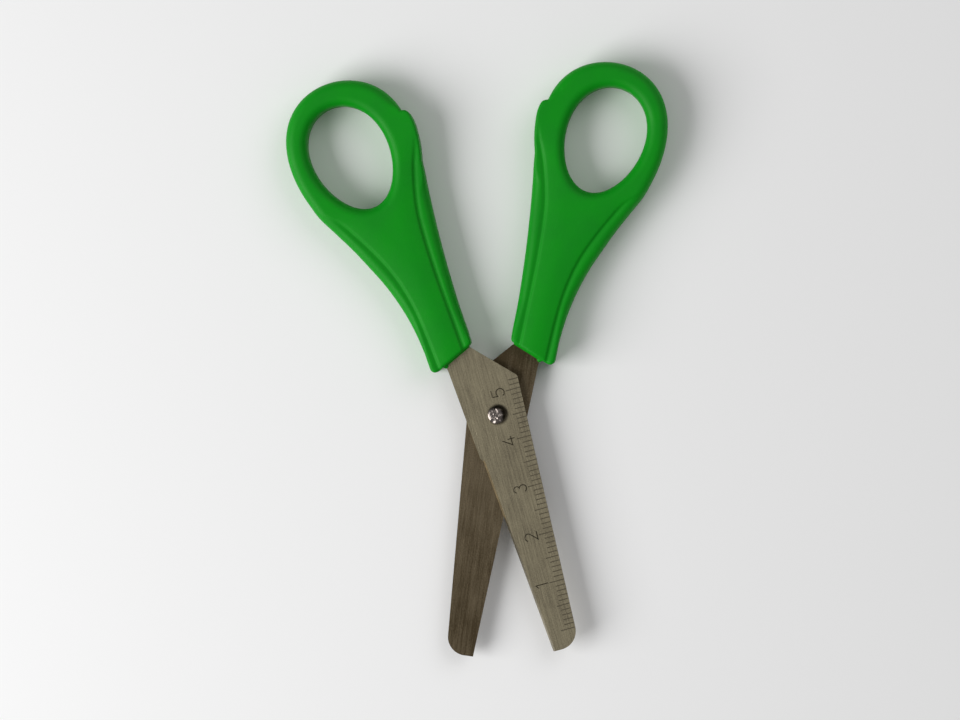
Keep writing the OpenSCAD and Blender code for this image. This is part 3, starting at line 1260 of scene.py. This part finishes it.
@dataclass
class Rivet:
    """The rivet, with a hammered dome in front and a flat peened head behind.

    Attributes:
        head_radius: radius of both heads.
        shank_radius: radius of the shank.
        dome_low: height of the dome's foot above the middle plane.
        dome_height: height of the dome.
        dome_lip: height of the upright lip at the dome's foot.
        dome_tuck: how far the dome's foot is set back under the lip.
        dome_swell: how full the dome is: 1 is an ellipse and less is fuller.
        back_low: distance of the peened head's flat from the middle plane.
        peened: the peened head's edge: how far in from the radius, and how far behind the flat.
        steps: how many points a full turn has.
        dome_steps: how many rings the dome has.
        dents: how many hammer marks the dome has.
        dent_depth: depth of a mark.
        dent_size: radius of the smallest mark, and how much the largest is wider.
        dent_reach: how far out the marks go, as a share of the radius.
        shade_reach: where the painted shade on the dome begins and how wide its edge is, as shares of the
            radius.
        shade_side: direction of the side with the darkest painted shade, in degrees.
        shade_turn: cosines of the angles from that side where the painted shade begins and where it is
            full.
    """

    head_radius: float = 1.8
    shank_radius: float = 1.2
    dome_low: float = 1.265
    dome_height: float = 0.7
    dome_lip: float = 0.2
    dome_tuck: float = 0.12
    dome_swell: float = 0.8
    back_low: float = 1.225
    peened: Line = ((0.03, 0), (0, 0.05), (0.05, 0.2), (0.2, 0.38), (0.45, 0.5), (1.78, 0.5))
    steps: int = 96
    dome_steps: int = 34
    dents: int = 15
    dent_depth: float = 0.17
    dent_size: Span = (0.35, 0.35)
    dent_reach: float = 0.85
    shade_reach: Span = (0.55, 0.25)
    shade_side: float = 25.0
    shade_turn: Span = (-0.5, 0.6)

    def profile(self) -> list[tuple[float, float]]:
        """Radius and height down the rivet, from the dome's top to the back."""
        foot = self.dome_low + self.dome_lip
        rise = self.dome_height - self.dome_lip
        dome = [(self.head_radius * math.cos(t) ** self.dome_swell, foot + rise * math.sin(t))
                for t in np.radians(np.linspace(89, 0, self.dome_steps))]
        shank = [(self.head_radius - self.dome_tuck, self.dome_low), (self.shank_radius, self.dome_low),
                 (self.shank_radius, -self.back_low)]
        return dome + shank + [(self.head_radius - inset, -self.back_low - depth)
                               for inset, depth in self.peened]

    def build(self) -> bpy.types.Object:
        """Turns the profile and hammers the dome.

        Returns:
            The rivet.
        """
        profile = np.array(self.profile())
        turn = np.linspace(0, 2 * math.pi, self.steps, endpoint=False)
        points = np.stack([
            profile[:, :1] * np.cos(turn),
            profile[:, :1] * np.sin(turn),
            np.repeat(profile[:, 1:], self.steps, axis=1),
        ], axis=-1).reshape(-1, 3)
        rings = np.arange(len(points)).reshape(-1, self.steps).tolist()
        faces = [(upper[i - 1], lower[i - 1], lower[i], upper[i])
                 for upper, lower in zip(rings, rings[1:]) for i in range(self.steps)]
        faces += [rings[0], rings[-1][::-1]]
        points[:, 2] -= self.hammering(points)
        rivet = new_object("rivet_hammered", place_half(points, Side.FRONT), faces, Side.BACK.value)
        # Painted shade on the dome's rim, darkest on the side away from the key light.
        add_mask(rivet, "dirt_and_shade", self.painted_rivet_shade(points))
        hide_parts("rivet")
        return rivet

    def hammering(self, points: Points) -> np.ndarray:
        """Depth of the hammer marks on the dome.

        Args:
            points: the rivet's points.

        Returns:
            How far each point is pressed down.
        """
        chance = np.random.default_rng(SEED)
        smallest, range_of_sizes = self.dent_size
        depth = np.zeros(len(points))
        for _ in range(self.dents):
            reach = self.head_radius * self.dent_reach * math.sqrt(chance.random())
            angle = chance.random() * 2 * math.pi
            size = smallest + range_of_sizes * chance.random()
            gap = np.hypot(points[:, 0] - reach * math.cos(angle), points[:, 1] - reach * math.sin(angle))
            depth = np.maximum(depth, self.dent_depth * np.clip(1 - (gap / size) ** 2, 0, 1))
        return np.where(points[:, 2] > self.dome_low, depth, 0.0)

    def painted_rivet_shade(self, points: Points) -> np.ndarray:
        """Painted shade on the rivet: its rim is darkest on the side away from the key light.

        Args:
            points: the rivet's points.

        Returns:
            A value from 0 to 1 for each point.
        """
        reach = np.hypot(points[:, 0], points[:, 1])
        angle = np.arctan2(points[:, 1], points[:, 0])
        side = ease(np.cos(angle - math.radians(self.shade_side)), *self.shade_turn)
        start, edge = (share * self.head_radius for share in self.shade_reach)
        return np.clip((reach - start) / edge, 0, 1) * side

    def dress(self, rivet: bpy.types.Object, finish: bpy.types.Material) -> None:
        """Gives the rivet its steel."""
        rivet.data.materials.append(finish)


# ---------------------------------------------------------------- the studio


@dataclass(frozen=True)
class SoftLight:
    """A square soft light that faces the scissors.

    Attributes:
        name: its name.
        place: where it stands, in metres.
        size: length of its sides, in metres.
        power: its power in watts.
    """

    name: str
    place: tuple[float, float, float]
    size: float
    power: float

    def build(self) -> None:
        """Sets the light up."""
        data = bpy.data.lights.new(self.name, "AREA")
        data.size = self.size
        data.energy = self.power
        light = bpy.data.objects.new(self.name, data)
        light.location = self.place
        light.rotation_euler = (-Vector(self.place)).to_track_quat("-Z", "Y").to_euler()
        bpy.context.scene.collection.objects.link(light)


@dataclass
class Studio:
    """A pale floor, soft lights and a camera almost straight above.

    Attributes:
        roll: how far the scissors lean to the left in the view, in degrees.
        lean: how far the camera stands to the right and to the top of straight above, in degrees.
        aim: where the camera looks, in metres in the shared frame.
        distance: distance of the camera from there, in metres.
        span: width that the view takes in there, in metres.
        sensor: width of the camera's sensor, in millimetres.
        lights: the soft lights.
        room: strength of the even light from all round.
        floor_reach: how far the floor goes on each side, in metres.
        floor_colour: its colour.
        floor_roughness: its roughness.
    """

    roll: float = 3.99
    lean: Span = (1.98, 0.79)
    aim: tuple[float, float, float] = (-0.002572, 0.000812, 0.0045)
    distance: float = 0.848
    span: float = 0.19539
    sensor: float = 36.0
    lights: tuple[SoftLight, ...] = (
        SoftLight("key", (-0.6, -0.15, 0.45), 0.55, 5.6),
        SoftLight("fill", (0.5, 0.45, 0.7), 0.7, 1.8),
    )
    room: float = 0.25
    floor_reach: float = 3.0
    floor_colour: Colour = (0.93, 0.93, 0.93, 1)
    floor_roughness: float = 0.9

    def build(self) -> None:
        """Sets the floor, the lights, the room and the camera."""
        self._floor()
        for light in self.lights:
            light.build()
        self._room()
        self._camera()
        bpy.context.scene.view_settings.view_transform = "Standard"

    def _floor(self) -> None:
        """A wide pale floor."""
        corners = [(x * self.floor_reach, y * self.floor_reach, 0)
                   for x, y in ((-1, -1), (1, -1), (1, 1), (-1, 1))]
        mesh = bpy.data.meshes.new("floor")
        mesh.from_pydata(corners, [], [(0, 1, 2, 3)])
        floor = bpy.data.objects.new("floor", mesh)
        bpy.context.scene.collection.objects.link(floor)
        material, _, surface = new_material("pale_floor")
        surface.inputs["Base Color"].default_value = self.floor_colour
        surface.inputs["Roughness"].default_value = self.floor_roughness
        floor.data.materials.append(material)

    def _room(self) -> None:
        """Lights the scene evenly from all round."""
        world = bpy.data.worlds.new("room")
        world.use_nodes = True
        back = world.node_tree.nodes["Background"]
        back.inputs["Color"].default_value = (1, 1, 1, 1)
        back.inputs["Strength"].default_value = self.room
        bpy.context.scene.world = world

    def _camera(self) -> None:
        """Looks down at the scissors from almost straight above."""
        data = bpy.data.cameras.new("camera")
        data.sensor_width = self.sensor
        data.lens = data.sensor_width * self.distance / self.span
        camera = bpy.data.objects.new("camera", data)
        spin = Matrix.Rotation(-math.radians(self.roll), 3, "Z")
        right, top, above = spin.transposed()
        across, along = (math.tan(math.radians(angle)) for angle in self.lean)
        back = (above + across * right + along * top).normalized()
        side = top.cross(back).normalized()
        turn = Matrix((side, back.cross(side), back)).transposed()
        camera.matrix_world = Matrix.Translation(Vector(self.aim) + self.distance * back) @ turn.to_4x4()
        bpy.context.scene.collection.objects.link(camera)
        bpy.context.scene.camera = camera


def main() -> None:
    """Builds and dresses every piece, then lights the scene."""
    logging.basicConfig(level=logging.INFO)
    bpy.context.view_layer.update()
    green = MouldedGreen().material()
    for side in Side:
        handle = MouldedHandle(side)
        moulding = handle.build()
        handle.dress(moulding, green)
        LOG.info("%s: %d faces", moulding.name, len(moulding.data.polygons))
    for node, steel in (("ruler_blade", FRONT_STEEL), ("plain_blade", BACK_STEEL)):
        blade = Blade(node)
        plate = blade.build()
        blade.dress(plate, steel.material())
        LOG.info("%s: %d faces", plate.name, len(plate.data.polygons))
    rivet = Rivet()
    head = rivet.build()
    rivet.dress(head, RIVET_STEEL.material())
    LOG.info("%s: %d faces", head.name, len(head.data.polygons))
    Studio().build()


if __name__ == "__main__":
    main()
